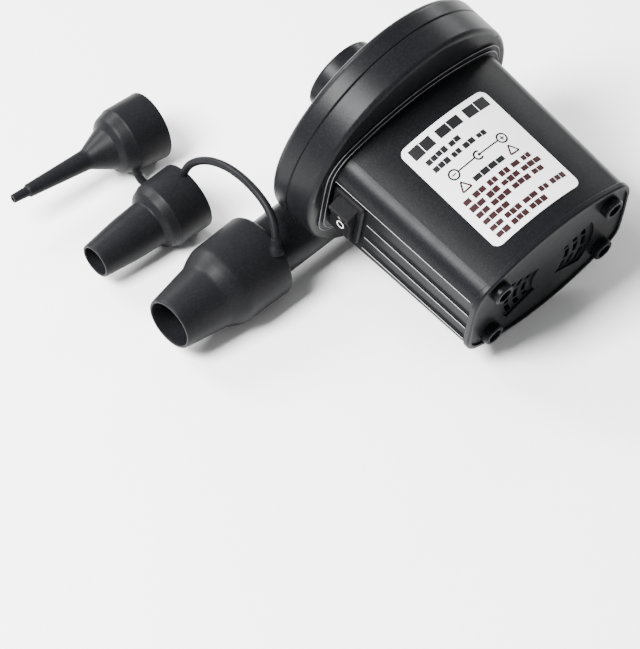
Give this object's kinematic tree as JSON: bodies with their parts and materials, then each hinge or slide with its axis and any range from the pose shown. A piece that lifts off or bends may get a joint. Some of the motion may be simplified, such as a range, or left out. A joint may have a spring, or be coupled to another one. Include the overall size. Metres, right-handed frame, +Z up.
{
  "type": "electric air pump",
  "caption": "Small electric pump for inflatables: drum-shaped blower with side outlet, oval motor housing with label and rocker switch, and soft nozzles chained by moulded tethers.",
  "frame": {"origin": "middle of the footprint, on the surface that the pump and its loose nozzles lie on", "axes": "+Z up; +Y from the base of the motor housing towards the intake and along the row of nozzles; -X is where the outlet and the nozzles point"},
  "size_m": [0.1544, 0.1969, 0.1003],
  "materials": {
    "shell_plastic": "fine-grained satin charcoal ABS",
    "soft_vinyl": "matte black soft PVC with a fine grain",
    "switch_plastic": "smooth black nylon",
    "label_film": "pale grey printed film",
    "zinc_screw": "plated steel",
    "motor_steel": "plated mild steel",
    "terminal_brass": "tinned brass",
    "bush_bronze": "oiled sintered bronze",
    "bell_nylon": "natural nylon",
    "ferrite": "dark ferrite",
    "copper_wire": "enamelled copper",
    "carbon": "pressed carbon",
    "impeller_plastic": "dark grey moulded ABS"
  },
  "bodies": {
    "pump_body": {"front_cover": "shell_plastic", "volute_housing": "shell_plastic", "body_shell": "shell_plastic", "base_cap": "shell_plastic", "base_screws": "zinc_screw", "cover_screws": "zinc_screw", "label": "label_film", "switch_body": "switch_plastic", "switch_terminals": "terminal_brass", "socket_body": "switch_plastic", "socket_pin": "terminal_brass", "socket_terminals": "terminal_brass", "motor_can": "motor_steel", "front_bush": "bush_bronze", "motor_end_bell": "bell_nylon", "rear_bush": "bush_bronze", "field_magnets": "ferrite", "motor_brushes": "carbon", "motor_terminals": "terminal_brass", "motor_screws": "zinc_screw"},
    "rotor": {"motor_shaft": "motor_steel", "armature_core": "motor_steel", "armature_windings": "copper_wire", "commutator": "copper_wire", "impeller": "impeller_plastic"},
    "rocker": {"switch_rocker": "switch_plastic"},
    "large_nozzle": {"nozzle_large": "soft_vinyl", "tether_large": "soft_vinyl"},
    "medium_nozzle": {"nozzle_medium": "soft_vinyl", "tether_small": "soft_vinyl"},
    "small_nozzle": {"nozzle_small": "soft_vinyl"}
  },
  "joints": [
    {"name": "motor_spin", "type": "hinge", "parent": "pump_body", "child": "rotor", "pos_m": [0.0272, -0.04368, 0.0404], "axis": [0, 0.9579, 0.2871], "continuous": true},
    {"name": "rocker_tilt", "type": "hinge", "parent": "pump_body", "child": "rocker", "pos_m": [-0.01093, -0.02901, 0.04375], "axis": [-0.0209, 0.9577, 0.2871], "range_deg": [0, 22]},
    {"name": "large_nozzle_pull", "type": "slide", "parent": "pump_body", "child": "large_nozzle", "axis": [-1, 0, 0], "range_m": [0, 0.03]},
    {"name": "medium_nozzle_swivel", "type": "hinge", "parent": "large_nozzle", "child": "medium_nozzle", "pos_m": [-0.0273, 0.045, 0.0262], "axis": [0, 0, 1], "range_deg": [-15, 15]},
    {"name": "small_nozzle_swivel", "type": "hinge", "parent": "medium_nozzle", "child": "small_nozzle", "pos_m": [-0.0254, 0.0756, 0.007], "axis": [0, 0, 1], "range_deg": [-8, 8]}
  ]
}
